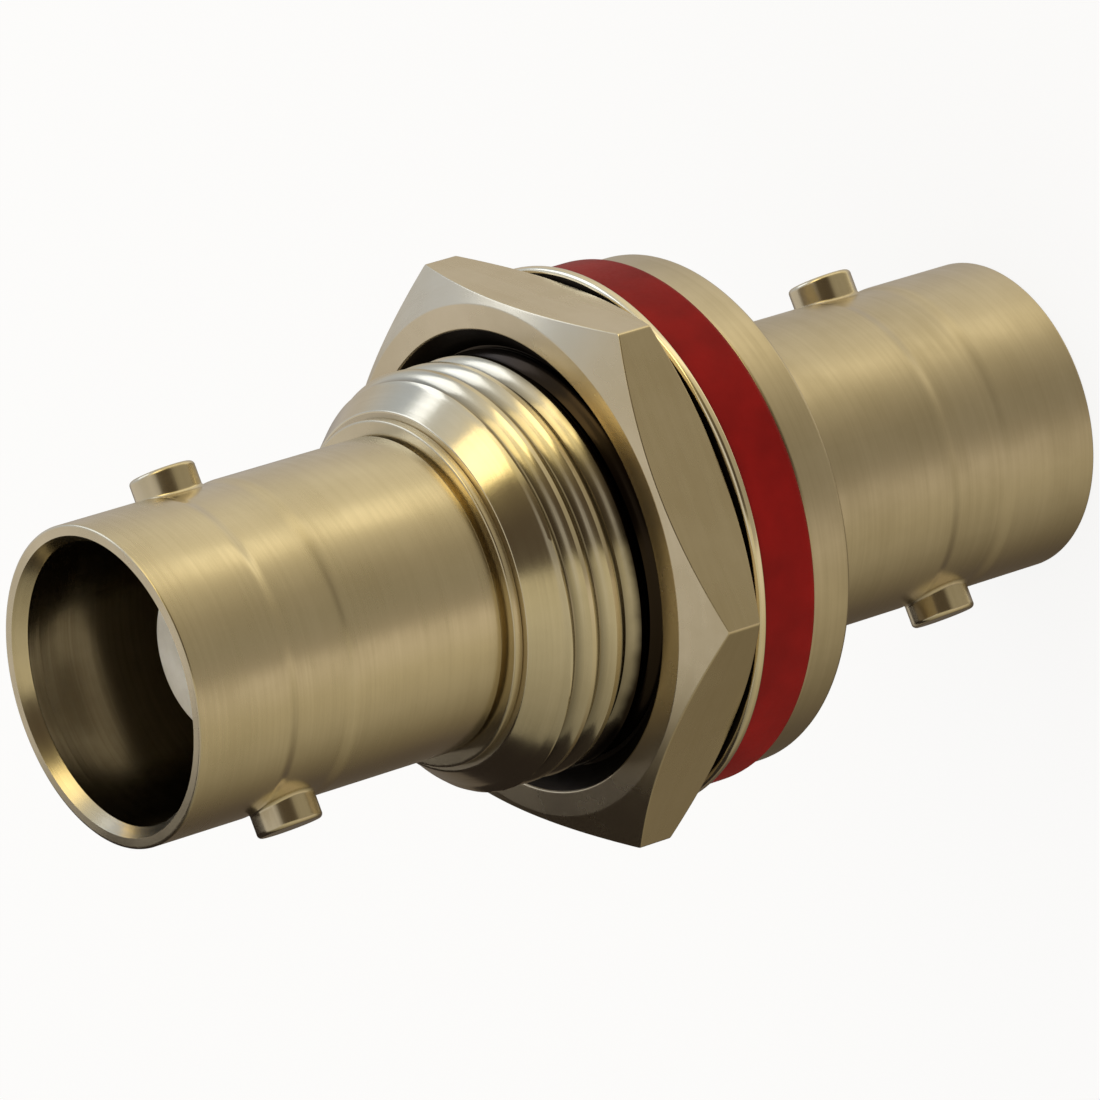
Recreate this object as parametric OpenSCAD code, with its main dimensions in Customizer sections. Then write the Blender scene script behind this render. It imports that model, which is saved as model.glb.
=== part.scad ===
// Bulkhead coaxial adapter with a bayonet jack at each end.
// The rear jack, flange and threaded neck are one turning. The front jack is a second turning
// pressed into the neck, and it traps two insulators and one contact that is slotted at both ends.
// Rest position: standing on the rear mouth, axis along +Z, lugs along X.

/* [Barrels] */
// Wall of both jack barrels around the wide part of the socket
barrel_wall = 0.58; // [0.5:0.02:0.8]
// Length of the rear barrel, from its mouth to the flange
rear_len = 12.15; // [11.5:0.05:14]
// Length of the front barrel, from its shoulder to its mouth
front_len = 10.9; // [10.6:0.05:14]
// Size of the broken edge around a rim
edge_break = 0.1; // [0.04:0.02:0.14]

/* [Lugs] */
// Diameter of a bayonet lug
lug_d = 2.0; // [1.8:0.05:2.2]
// Distance across the tips of a pair of lugs
lug_span = 11.0; // [10.8:0.05:11.4]
// Distance from a mouth to the middle of its lugs
lug_setback = 4.4; // [4.1:0.05:4.8]
// Width of the milled band that the lugs stand in
band_w = 2.6; // [2.4:0.05:3]
// Depth of the milled band
band_depth = 0.16; // [0.05:0.01:0.2]
// Radius of the cutter's corner at both sides of the band
band_corner_r = 0.4; // [0.2:0.05:0.5]
// Size of the bevel at a lug's tip
lug_bevel = 0.15; // [0.05:0.05:0.3]

/* [Sockets] */
// Diameter of the socket
socket_d = 8.12; // [8:0.02:8.2]
// How much wider in radius the socket is near its mouth
mouth_step = 0.16; // [0.08:0.02:0.2]
// Depth of that wide part
mouth_depth = 2.6; // [2.2:0.1:3]
// Depth of the whole socket
socket_depth = 8.4; // [8:0.1:9]
// Width of the lead-in bevel at the mouth
lead_in_w = 0.25; // [0.1:0.05:0.3]
// Depth of the lead-in bevel at the mouth
lead_in_depth = 0.4; // [0.2:0.05:0.6]
// Thickness of the lip at the socket's floor
lip_t = 0.6; // [0.5:0.1:1]
// Diameter of the hole in that lip
lip_d = 5.8; // [5.4:0.1:6.2]
// Diameter of the chamber behind the lip
chamber_d = 6.8; // [6.5:0.1:7.2]

/* [Flange and neck] */
// Diameter of the flange
flange_d = 15.7; // [15:0.1:17]
// Thickness of the flange
flange_t = 1.45; // [1.2:0.05:2]
// Size of the bevel around both sides of the flange
flange_bevel = 0.2; // [0.1:0.05:0.4]
// Outer diameter of the neck's thread
thread_d = 12.7; // [12.4:0.05:13]
// Length of the neck, from the flange to its front end
neck_len = 8.7; // [8.2:0.1:11]
// Width of the neck's front face around the pressed-in tail
neck_face_w = 0.43; // [0.3:0.05:0.6]
// Distance from the neck's front end to the middle of the thread's first groove
lead_len = 1.0; // [0.7:0.1:1.3]
// How far the lead cone's widest end stays inside the thread's outer diameter
lead_step = 0.25; // [0.1:0.05:0.35]

/* [Thread] */
// Pitch of the thread, which is drawn as separate rings
thread_pitch = 0.907; // [0.8:0.001:1]
// Depth of a groove
thread_depth = 0.5; // [0.45:0.01:0.55]
// Width of a crest
crest_w = 0.18; // [0.1:0.02:0.24]
// Width of a groove's floor
root_w = 0.12; // [0.06:0.02:0.2]
// Shortest plain stretch between the flange and the last groove
thread_runout = 0.4; // [0.2:0.1:0.8]

/* [Press joint] */
// How much larger in radius the front jack's tail is than its barrel
tail_step = 0.2; // [0.1:0.05:0.3]
// Length of the tail
tail_len = 7.4; // [5:0.1:8]
// Width of the shoulder around the tail, which stops it at the neck's face
shoulder_w = 0.25; // [0.15:0.05:0.4]
// Thickness of the shoulder
shoulder_t = 0.3; // [0.2:0.05:0.5]
// Depth of the fine groove between barrel and shoulder
groove_depth = 0.2; // [0.1:0.05:0.3]
// Width of that groove
groove_w = 0.12; // [0.08:0.02:0.2]

/* [Contact] */
// Outer diameter of the contact
contact_d = 2.1; // [2:0.05:2.3]
// Distance from a mouth to the contact's end
contact_setback = 4.95; // [4.9:0.05:5.3]
// Diameter of the hole for the mating pin
pin_hole_d = 1.38; // [1.34:0.01:1.42]
// Depth of the hole for the mating pin
pin_hole_depth = 5.5; // [5:0.1:6.5]
// Number of spring fingers at each end
finger_count = 4; // [2:2:4]
// Width of the slit between two fingers
slit_w = 0.2; // [0.15:0.01:0.24]
// Length of a slit
slit_len = 4.6; // [4:0.1:5]
// Bevel at the fingers' ends
finger_bevel = 0.12; // [0.05:0.01:0.15]
// Diameter of the ridge that holds the contact in place
ridge_d = 3.0; // [2.6:0.1:3.6]
// Width of that ridge
ridge_w = 1.2; // [0.8:0.1:2]

/* [Insulators] */
// Diameter of the insulator's nose, which stands in the socket
nose_d = 4.75; // [4.5:0.05:4.9]
// Distance from a mouth to the nose's end
nose_setback = 4.8; // [4.7:0.05:4.9]
// Bevel around the nose's end
nose_bevel = 0.15; // [0.05:0.05:0.3]
// Length of the narrowed stretch between nose and lip
waist_len = 1.2; // [0.8:0.1:1.6]
// Depth of the narrowed stretch below the nose's surface
waist_step = 0.28; // [0.1:0.02:0.4]

/* [Nut] */
// Wall of the nut between its hole and the middle of a flat
nut_wall = 1.6; // [1.4:0.1:3]
// Thickness of the nut
nut_t = 2.6; // [2.2:0.1:3.2]
// Angle of the bevel that rounds the nut's corners
nut_bevel_angle = 27; // [15:1:30]
// How far inside the middle of a flat that bevel starts, on both faces
nut_face_inset = 0.2; // [0.1:0.05:0.4]
// Width of the countersink in the front face, which is cut at 45 degrees
countersink_w = 0.65; // [0.4:0.05:0.8]
// Size of the bevel at the back end of the nut's hole
nut_back_bevel = 0.25; // [0.1:0.05:0.4]

/* [Washer and gasket] */
// Width of the washer's ring
washer_w = 1.65; // [1.3:0.05:2.5]
// Thickness of the washer
washer_t = 0.3; // [0.2:0.05:0.8]
// Edge break around the washer
washer_edge = 0.06; // [0.02:0.01:0.09]
// Width of the gasket's ring
gasket_w = 1.55; // [1.2:0.05:2]
// Thickness of the gasket
gasket_t = 2.1; // [1.5:0.1:2.2]
// Radius of the gasket's rounded edges
gasket_edge_r = 0.2; // [0.1:0.05:0.4]

/* [Fits] */
// Radial clearance of the nut on the thread
nut_clearance = 0.05; // [0.02:0.01:0.1]
// Radial clearance of the washer around the thread
washer_clearance = 0.3; // [0.2:0.05:0.4]
// Radial clearance of the gasket around the thread
gasket_clearance = 0.1; // [0.05:0.05:0.2]
// Radial clearance between the pressed or trapped inner pieces
inner_clearance = 0.02; // [0.01:0.01:0.04]
// Room that is left beyond the end of the front jack's tail
tail_room = 0.3; // [0.2:0.1:0.6]

/* [Hidden] */
$fn = 96;

// Heights above the rear mouth
flange_back_z = rear_len;
flange_front_z = flange_back_z + flange_t;
washer_z = flange_front_z + gasket_t;
nut_z = washer_z + washer_t;
neck_end_z = flange_front_z + neck_len;
barrel_z = neck_end_z + shoulder_t;
top_z = barrel_z + front_len;
mid_z = top_z / 2;
tail_end_z = neck_end_z - tail_len;

// Depths inside a jack, measured from its mouth
lip_back = socket_depth + lip_t;
bore_overcut = 1;
// How far the tool that bevels the nut's corners runs beyond them
bevel_overrun = 0.3;

// Radii around the axis
socket_r = socket_d / 2;
mouth_r = socket_r + mouth_step;
barrel_r = mouth_r + barrel_wall;
tail_r = barrel_r + tail_step;
shoulder_r = tail_r + shoulder_w;
tail_hole_r = tail_r + inner_clearance;
neck_r = thread_d / 2;

// The thread's grooves, from the lead cone back to the flange
root_r = neck_r - thread_depth;
flank_run = (thread_pitch - crest_w - root_w) / 2;
first_groove_z = neck_end_z - lead_len;
thread_room = first_groove_z - flange_front_z - thread_runout - root_w / 2 - flank_run;
groove_count = floor(thread_room / thread_pitch) + 1;

// Angle that the cutter's corner arc turns through, and its reach along the axis
band_corner_angle = acos(1 - band_depth / band_corner_r);
band_corner_reach = band_corner_r * sin(band_corner_angle);
band_corner_steps = 6;

// Places its child for the jack at the rear as it is, and for the front one upside down.
module jack_at(front) {
    if (front)
        translate([0, 0, top_z]) mirror([0, 0, 1]) children();
    else
        children();
}

// Point on the arc that a cutter's corner leaves at one side of the milled band: share 0 is on the
// band's floor and share 1 on the barrel.
function corner_point(share, side) =
    let (angle = band_corner_angle * share)
    [barrel_r - band_depth + band_corner_r * (1 - cos(angle)),
     lug_setback + side * (band_w / 2 - band_corner_reach + band_corner_r * sin(angle))];

// Half section of a barrel of a given length, with a broken edge at the mouth and the milled band.
module barrel_outline(length) {
    shares = [for (i = [0:band_corner_steps]) i / band_corner_steps];
    polygon(concat(
        [[0, 0], [barrel_r - edge_break, 0], [barrel_r, edge_break]],
        [for (share = shares) corner_point(1 - share, -1)],
        [for (share = shares) corner_point(share, 1)],
        [[barrel_r, length], [0, length]]
    ));
}

// The hollow of a jack, from beyond the mouth to the back of the lip.
module socket_hollow() {
    rotate_extrude()
        polygon([
            [0, -bore_overcut],
            [mouth_r + lead_in_w, -bore_overcut],
            [mouth_r + lead_in_w, 0],
            [mouth_r, lead_in_depth],
            [mouth_r, mouth_depth],
            [socket_r, mouth_depth + mouth_step],
            [socket_r, socket_depth],
            [lip_d / 2, socket_depth],
            [lip_d / 2, lip_back + bore_overcut],
            [0, lip_back + bore_overcut]
        ]);
}

// Two lugs milled from the barrel's own bar stock, each with a bevelled tip.
module lugs() {
    root_r = (mouth_r + barrel_r - band_depth) / 2;
    height = lug_span / 2 - root_r;
    for (side = [0, 180])
        rotate([0, 0, side])
            translate([root_r, 0, lug_setback])
                rotate([0, 90, 0])
                    rotate_extrude()
                        polygon([
                            [0, 0],
                            [lug_d / 2, 0],
                            [lug_d / 2, height - lug_bevel],
                            [lug_d / 2 - lug_bevel, height],
                            [0, height]
                        ]);
}

// Outline of one groove of the thread, from its flange side to its front side.
function groove(middle_z) = [
    [neck_r, middle_z - root_w / 2 - flank_run],
    [root_r, middle_z - root_w / 2],
    [root_r, middle_z + root_w / 2],
    [neck_r, middle_z + root_w / 2 + flank_run]
];

// Outline of the neck from the flange to its front end, with the lead cone ahead of the thread. The
// first groove is in the cone's foot, so its front flank stops where it meets the cone.
function neck_outline() =
    let (lead_r = neck_r - lead_step,
         foot_z = first_groove_z + root_w / 2 + flank_run * (lead_r - root_r) / thread_depth)
    concat(
        [[neck_r, flange_front_z]],
        [for (i = [groove_count - 1:-1:1]) each groove(first_groove_z - i * thread_pitch)],
        [for (k = [0:2]) groove(first_groove_z)[k]],
        [[lead_r, foot_z], [tail_hole_r + neck_face_w, neck_end_z]]
    );

// Rear jack, flange and threaded neck, turned from one bar.
module main_body() {
    flange_r = flange_d / 2;
    color("darkkhaki")
    difference() {
        union() {
            rotate_extrude() barrel_outline(flange_back_z + flange_bevel);
            rotate_extrude()
                polygon(concat(
                    [[0, flange_back_z],
                     [flange_r - flange_bevel, flange_back_z],
                     [flange_r, flange_back_z + flange_bevel],
                     [flange_r, flange_front_z - flange_bevel],
                     [flange_r - flange_bevel, flange_front_z]],
                    neck_outline(),
                    [[0, neck_end_z]]
                ));
            lugs();
        }
        socket_hollow();
        translate([0, 0, lip_back])
            cylinder(d = chamber_d, h = neck_end_z - lip_back);
        translate([0, 0, tail_end_z - tail_room])
            cylinder(r = tail_hole_r, h = tail_len + tail_room + bore_overcut);
    }
}

// Front jack with the tail that is pressed into the neck. A groove sets its shoulder off.
module front_shell() {
    color("darkkhaki")
    difference() {
        union() {
            jack_at(true) {
                rotate_extrude() barrel_outline(front_len - groove_w);
                lugs();
            }
            translate([0, 0, barrel_z]) cylinder(r = barrel_r - groove_depth, h = groove_w);
            rotate_extrude()
                polygon([
                    [0, tail_end_z],
                    [tail_r - edge_break, tail_end_z],
                    [tail_r, tail_end_z + edge_break],
                    [tail_r, neck_end_z],
                    [shoulder_r, neck_end_z],
                    [shoulder_r, barrel_z - edge_break],
                    [shoulder_r - edge_break, barrel_z],
                    [0, barrel_z]
                ]);
        }
        jack_at(true) socket_hollow();
        translate([0, 0, tail_end_z - bore_overcut])
            cylinder(d = chamber_d, h = top_z - lip_back - tail_end_z + bore_overcut);
    }
}

// Half of the insulation: a nose in the socket, a waist, a collar in the lip and a body in the
// chamber. Both halves meet in the middle and close around the contact's ridge.
module insulator() {
    collar_r = lip_d / 2 - inner_clearance;
    body_r = chamber_d / 2 - inner_clearance;
    nose_r = nose_d / 2;
    waist_r = nose_r - waist_step;
    contact_r = contact_d / 2 + inner_clearance;
    pocket_r = ridge_d / 2 + inner_clearance;
    waist_start = socket_depth - waist_len;
    rotate_extrude()
        polygon([
            [contact_r, nose_setback],
            [nose_r - nose_bevel, nose_setback],
            [nose_r, nose_setback + nose_bevel],
            [nose_r, waist_start],
            [waist_r, waist_start + waist_step],
            [waist_r, socket_depth],
            [collar_r, socket_depth],
            [collar_r, lip_back],
            [body_r, lip_back],
            [body_r, mid_z],
            [pocket_r, mid_z],
            [pocket_r, mid_z - ridge_w / 2],
            [contact_r, mid_z - ridge_w / 2]
        ]);
}

module front_insulator() {
    color("white") jack_at(true) insulator();
}

module rear_insulator() {
    color("whitesmoke") jack_at(false) insulator();
}

// One gold-plated contact with spring fingers at both ends and a ridge in the middle.
module centre_contact() {
    contact_r = contact_d / 2;
    color("gold")
    difference() {
        rotate_extrude()
            polygon([
                [0, contact_setback],
                [contact_r - finger_bevel, contact_setback],
                [contact_r, contact_setback + finger_bevel],
                [contact_r, mid_z - ridge_w / 2],
                [ridge_d / 2, mid_z - ridge_w / 2],
                [ridge_d / 2, mid_z + ridge_w / 2],
                [contact_r, mid_z + ridge_w / 2],
                [contact_r, top_z - contact_setback - finger_bevel],
                [contact_r - finger_bevel, top_z - contact_setback],
                [0, top_z - contact_setback]
            ]);
        for (front = [false, true])
            jack_at(front) {
                translate([0, 0, contact_setback - bore_overcut])
                    cylinder(d = pin_hole_d, h = pin_hole_depth + bore_overcut);
                for (i = [0:finger_count / 2 - 1])
                    rotate([0, 0, 45 + i * 360 / finger_count])
                        translate([-contact_d, -slit_w / 2, contact_setback - bore_overcut])
                            cube([2 * contact_d, slit_w, slit_len + bore_overcut]);
            }
    }
}

// Soft sealing ring that lies on the flange around the thread.
module gasket() {
    inner_r = neck_r + gasket_clearance;
    flat_w = gasket_w - gasket_edge_r;
    edge_start_r = inner_r + flat_w;
    color("firebrick")
    translate([0, 0, flange_front_z])
        rotate_extrude()
            union() {
                translate([inner_r, 0]) square([flat_w, gasket_t]);
                translate([edge_start_r, gasket_edge_r])
                    square([gasket_edge_r, gasket_t - 2 * gasket_edge_r]);
                for (z = [gasket_edge_r, gasket_t - gasket_edge_r])
                    translate([edge_start_r, z]) circle(r = gasket_edge_r);
            }
}

// Thin flat washer that keeps the turning nut off the gasket.
module washer() {
    inner_r = neck_r + washer_clearance;
    outer_r = inner_r + washer_w;
    color("wheat")
    translate([0, 0, washer_z])
        rotate_extrude()
            polygon([
                [inner_r, 0],
                [outer_r - washer_edge, 0],
                [outer_r, washer_edge],
                [outer_r, washer_t - washer_edge],
                [outer_r - washer_edge, washer_t],
                [inner_r, washer_t]
            ]);
}

// Panel nut: a hexagon whose corners are turned off on both faces, with a wide countersink in front.
module hex_nut() {
    bore_r = neck_r + nut_clearance;
    flat_r = bore_r + nut_wall;
    corner_r = flat_r / cos(30);
    face_r = flat_r - nut_face_inset;
    past_r = corner_r + bevel_overrun;
    drop = (past_r - face_r) * tan(nut_bevel_angle);
    sink_r = bore_r + countersink_w;
    color("tan")
    translate([0, 0, nut_z])
        difference() {
            intersection() {
                cylinder(r = corner_r, h = nut_t, $fn = 6);
                rotate_extrude()
                    polygon([
                        [0, 0],
                        [face_r, 0],
                        [past_r, drop],
                        [past_r, nut_t - drop],
                        [face_r, nut_t],
                        [0, nut_t]
                    ]);
            }
            rotate_extrude()
                polygon([
                    [0, -bore_overcut],
                    [bore_r + nut_back_bevel, -bore_overcut],
                    [bore_r + nut_back_bevel, 0],
                    [bore_r, nut_back_bevel],
                    [bore_r, nut_t - countersink_w],
                    [sink_r, nut_t],
                    [sink_r, nut_t + bore_overcut],
                    [0, nut_t + bore_overcut]
                ]);
        }
}

main_body();
front_shell();
front_insulator();
rear_insulator();
centre_contact();
gasket();
washer();
hex_nut();
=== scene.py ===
"""Looks of a coaxial bulkhead adapter with a bayonet jack at each end, a red gasket and a panel nut."""

import math

import bmesh
import bpy
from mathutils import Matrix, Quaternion, Vector


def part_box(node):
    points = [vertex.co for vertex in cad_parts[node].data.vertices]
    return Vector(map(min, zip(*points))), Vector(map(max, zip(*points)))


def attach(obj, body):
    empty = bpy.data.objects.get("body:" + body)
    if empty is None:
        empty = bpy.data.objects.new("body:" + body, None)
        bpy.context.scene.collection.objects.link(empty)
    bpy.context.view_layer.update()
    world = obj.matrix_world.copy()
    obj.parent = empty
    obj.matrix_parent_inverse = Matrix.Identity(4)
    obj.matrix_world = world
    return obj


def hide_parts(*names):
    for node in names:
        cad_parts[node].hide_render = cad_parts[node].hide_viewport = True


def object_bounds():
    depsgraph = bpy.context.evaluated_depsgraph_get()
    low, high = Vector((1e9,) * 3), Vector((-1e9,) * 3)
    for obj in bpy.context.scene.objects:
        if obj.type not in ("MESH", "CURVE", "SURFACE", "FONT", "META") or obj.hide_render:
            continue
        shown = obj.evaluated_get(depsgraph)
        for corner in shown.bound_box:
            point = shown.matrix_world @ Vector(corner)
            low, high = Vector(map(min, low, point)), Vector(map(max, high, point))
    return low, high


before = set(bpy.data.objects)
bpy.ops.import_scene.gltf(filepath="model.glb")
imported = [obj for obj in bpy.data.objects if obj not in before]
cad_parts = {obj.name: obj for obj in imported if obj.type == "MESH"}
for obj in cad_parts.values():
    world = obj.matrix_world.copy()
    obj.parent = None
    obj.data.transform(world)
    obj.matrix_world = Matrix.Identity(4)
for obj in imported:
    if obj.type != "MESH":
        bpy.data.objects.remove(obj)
cad_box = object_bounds()

# ---- Main body -------------------------------------------------------------------------------
# The rear jack, the flange and the threaded neck are one turning of free-cutting brass, plated
# with satin nickel. The lathe leaves fine turning marks, and a die cuts the neck's thread.

MM = 0.001
TURN = 2 * math.pi

# Barrel, mouth and socket, in millimetres as all sizes below
BARREL_R = 4.8
MOUTH_R = 4.22
SOCKET_R = 4.06
MOUTH_DEPTH = 0.8
MOUTH_TAPER = 4.2
SOCKET_DEPTH = 8.4
LIP_T = 0.6
LIP_R = 2.9
CHAMBER_R = 3.4
LEAD_IN_W = 0.25
LEAD_IN_DEPTH = 0.4
RIM_EDGE = 0.07
INNER_EDGE = 0.04

# Lugs, and the shallow band that is milled around the barrel between them
LUG_R = 1.0
LUG_TIP_R = 5.5
LUG_SETBACK = 4.4
LUG_TIP_EDGE = 0.13
LUG_FOOT = 0.12
LUG_ROOT = 0.25
LUG_WRAP = 0.3
LUG_COLUMNS = 96
BAND_HALF = 1.3
BAND_DEPTH = 0.08
BAND_BLEND = 0.5

# Flange and neck
FLANGE_R = 7.85
FLANGE_T = 1.45
FLANGE_EDGE = 0.16
FLANGE_FOOT = 0.08
NECK_R = 6.35
NECK_FOOT = 0.06
NECK_FACE_R = 5.45
NECK_FACE_EDGE = 0.05
LEAD_CONE_LEN = 0.8
LEAD_CONE_R = 6.1
LEAD_STEP = 0.25
TAIL_HOLE_R = 5.02
TAIL_HOLE_LEN = 7.7

# Thread: 28 turns to the inch, with a rounded profile
THREAD_PITCH = 0.907
THREAD_ROOT_R = 6.05
THREAD_CREST_SHARE = 0.16
THREAD_ROOT_SHARE = 0.06
THREAD_SOFTNESS = 0.25
THREAD_RUNOUT = 0.5
FIRST_ROOT_BACK = 1.22
FIRST_ROOT_BEARING = math.radians(-95.6)

# Heights, from the frame
REAR_MOUTH_Z = cad_box[0].z / MM
FLANGE_FRONT_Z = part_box("gasket")[0].z / MM
FLANGE_BACK_Z = FLANGE_FRONT_Z - FLANGE_T
NECK_END_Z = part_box("main_body")[1].z / MM

# Fineness of the meshes: steps in a rounded corner, the guard points beside it, the stretch from
# a corner to the next row, columns around the axis, and the play in telling faces apart
ARC_STEPS = 5
GUARD = 0.03
GUARD_SHARE = 0.3
ARC_REACH = 0.45
STRETCH = 0.3
COLUMNS = 288
PLAY = 0.02
MERGE = 1e-7
CREASE = math.radians(32)


def rounded(outline, closed=True):
    """Rounds each (radius, height, corner radius) of an outline, and puts a guard point on both
    sides of the arc so that the flat stretches keep their shading."""
    points = []
    count = len(outline)
    for i, (x, y, corner) in enumerate(outline):
        here = Vector((x, y))
        if corner == 0 or (not closed and i in (0, count - 1)):
            points.append(here)
            continue
        back = Vector(outline[i - 1][:2]) - here
        ahead = Vector(outline[(i + 1) % count][:2]) - here
        turn = back.angle(ahead)
        back_len, ahead_len = back.length, ahead.length
        reach = min(corner / math.tan(turn / 2), ARC_REACH * back_len, ARC_REACH * ahead_len)
        radius = reach * math.tan(turn / 2)
        back.normalize()
        ahead.normalize()
        centre = here + (back + ahead).normalized() * radius / math.sin(turn / 2)
        start = here + back * reach
        end = here + ahead * reach
        points.append(start + back * min(GUARD, GUARD_SHARE * (back_len - reach)))
        for step in range(ARC_STEPS + 1):
            spoke = (start - centre).lerp(end - centre, step / ARC_STEPS).normalized() * radius
            points.append(centre + spoke)
        points.append(end + ahead * min(GUARD, GUARD_SHARE * (ahead_len - reach)))
    return [tuple(point) for point in points]


def even_angles(count):
    """Angles of the columns of a turned mesh, with the first repeated at the end."""
    return [TURN * i / count for i in range(count + 1)]


def placed(name, data):
    """Object of a mesh, lamp or camera, put into the scene."""
    obj = bpy.data.objects.new(name, data)
    bpy.context.scene.collection.objects.link(obj)
    return obj


def skinned(name, points, width, closed):
    """Object whose surface runs over rows of points in millimetres, width points to a row. In a
    closed one the last row joins the first. Points that coincide are merged, normals point out,
    and the shading is smooth between creases."""
    count = len(points) // width
    faces = []
    for j in range(count if closed else count - 1):
        low, high = j * width, (j + 1) % count * width
        for i in range(width - 1):
            faces.append((low + i, low + i + 1, high + i + 1, high + i))
    mesh = bpy.data.meshes.new(name)
    mesh.from_pydata([(x * MM, y * MM, z * MM) for x, y, z in points], [], faces)
    work = bmesh.new()
    work.from_mesh(mesh)
    bmesh.ops.remove_doubles(work, verts=work.verts, dist=MERGE)
    bmesh.ops.dissolve_degenerate(work, edges=work.edges, dist=MERGE)
    bmesh.ops.recalc_face_normals(work, faces=work.faces)
    work.to_mesh(mesh)
    work.free()
    mesh.shade_smooth()
    mesh.set_sharp_from_angle(angle=CREASE)
    return placed(name, mesh)


def revolve(name, rows, angles):
    """Turned object from rows that each are a (radius, height), or a function that gives them for
    an angle."""
    points = []
    for row in rows:
        for angle in angles:
            r, z = row(angle) if callable(row) else row
            points.append((r * math.cos(angle), r * math.sin(angle), z))
    return skinned(name, points, len(angles), closed=True)


def join(name, objects):
    """One object from several, which share its place and its material slots by position."""
    work = bmesh.new()
    for part in objects:
        work.from_mesh(part.data)
        bpy.data.objects.remove(part)
    mesh = bpy.data.meshes.new(name)
    work.to_mesh(mesh)
    work.free()
    return placed(name, mesh)


def rear_at(depth):
    """Height of a depth in the rear jack."""
    return REAR_MOUTH_Z + depth


def band_points(at):
    """The shallow milled band in a barrel, from its mouth side inwards. at turns depth to height."""
    points = []
    for side in (-1, 1):
        for step in range(2 * ARC_STEPS + 1):
            share = step / (2 * ARC_STEPS)
            if side < 0:
                share = 1 - share
            sink = BAND_DEPTH * (1 + math.cos(math.pi * share)) / 2
            along = BAND_HALF + BAND_BLEND * (share - 1)
            points.append((BARREL_R - sink, at(LUG_SETBACK + side * along)))
    first, last = points[0][1], points[-1][1]
    guard = math.copysign(GUARD, last - first)
    return [(BARREL_R, first - guard)] + points + [(BARREL_R, last + guard)]


def jack_outside(at):
    """Outline points of a barrel from the inner edge of its mouth to behind its band."""
    rim = rounded([
        (MOUTH_R + LEAD_IN_W, at(0), RIM_EDGE / 2),
        (BARREL_R, at(0), RIM_EDGE),
        (BARREL_R, at(LUG_SETBACK - BAND_HALF), 0),
    ], closed=False)
    return rim[:-1] + band_points(at)


def jack_inside(at):
    """Outline points of a socket from the back of its lip, along its slight taper, to the mouth."""
    return rounded([
        (LIP_R, at(SOCKET_DEPTH + LIP_T), 0),
        (LIP_R, at(SOCKET_DEPTH), INNER_EDGE),
        (SOCKET_R, at(SOCKET_DEPTH), INNER_EDGE),
        (SOCKET_R, at(MOUTH_DEPTH + MOUTH_TAPER), INNER_EDGE),
        (MOUTH_R, at(MOUTH_DEPTH), INNER_EDGE),
        (MOUTH_R, at(LEAD_IN_DEPTH), INNER_EDGE),
        (MOUTH_R + LEAD_IN_W, at(0), 0),
    ], closed=False)


def lug(name, height, side):
    """A bayonet lug: a round stub on the barrel with a bevelled tip and a small fillet at its foot,
    closed below the surface that it stands on."""
    floor = BARREL_R - BAND_DEPTH
    foot_r = LUG_R + 2 * LUG_FOOT
    profile = rounded([
        (0.0, LUG_TIP_R, 0),
        (LUG_R, LUG_TIP_R, LUG_TIP_EDGE),
        (LUG_R, floor, LUG_FOOT),
        (foot_r, floor, 0),
        (foot_r, floor - LUG_ROOT, 0),
        (0.0, floor - LUG_ROOT, 0),
    ], closed=False)
    angles = even_angles(LUG_COLUMNS)
    points = []
    for reach, level in profile:
        wrap = max(0.0, min(1.0, (LUG_TIP_R - LUG_TIP_EDGE - level) / LUG_WRAP))
        for angle in angles:
            across = reach * math.cos(angle)
            along = reach * math.sin(angle)
            drop = floor - math.sqrt(floor ** 2 - across ** 2)
            points.append((side * (level - drop * wrap), across, height + along))
    return skinned(name, points, len(angles), closed=False)


def thread_radius(height, angle):
    """Radius of the external thread: crests and roots with softly rounded flanks between them."""
    behind = NECK_END_Z - FIRST_ROOT_BACK - height
    phase = (behind / THREAD_PITCH + (angle - FIRST_ROOT_BEARING) / TURN) % 1.0
    away = min(phase, 1.0 - phase)
    root, crest = THREAD_ROOT_SHARE / 2, 0.5 - THREAD_CREST_SHARE / 2
    share = max(0.0, min(1.0, (away - root) / (crest - root)))
    softened = share - THREAD_SOFTNESS * math.sin(TURN * share) / TURN
    return THREAD_ROOT_R + (NECK_R - THREAD_ROOT_R) * softened


def thread_rows(low, high, radius):
    """Rows that follow the thread's helix between two heights, where radius(height, angle) is
    the surface. They crowd at the corners of the profile."""
    half = (0.0, 0.02, 0.03, 0.045, 0.08, 0.14, 0.2, 0.26, 0.32, 0.37, 0.4, 0.41, 0.42, 0.435, 0.46)
    shares = half + (0.5,) + tuple(1 - share for share in half[:0:-1])
    top = NECK_END_Z - FIRST_ROOT_BACK - THREAD_PITCH * FIRST_ROOT_BEARING / TURN
    first = math.floor((top - high) / THREAD_PITCH)
    last = math.ceil((top - low) / THREAD_PITCH) + 1

    def row(turns):
        def point(angle):
            height = max(low, min(high, top + THREAD_PITCH * (angle / TURN - turns)))
            return radius(height, angle), height
        return point

    return [row(k + share) for k in range(last, first - 1, -1) for share in reversed(shares)]


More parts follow.
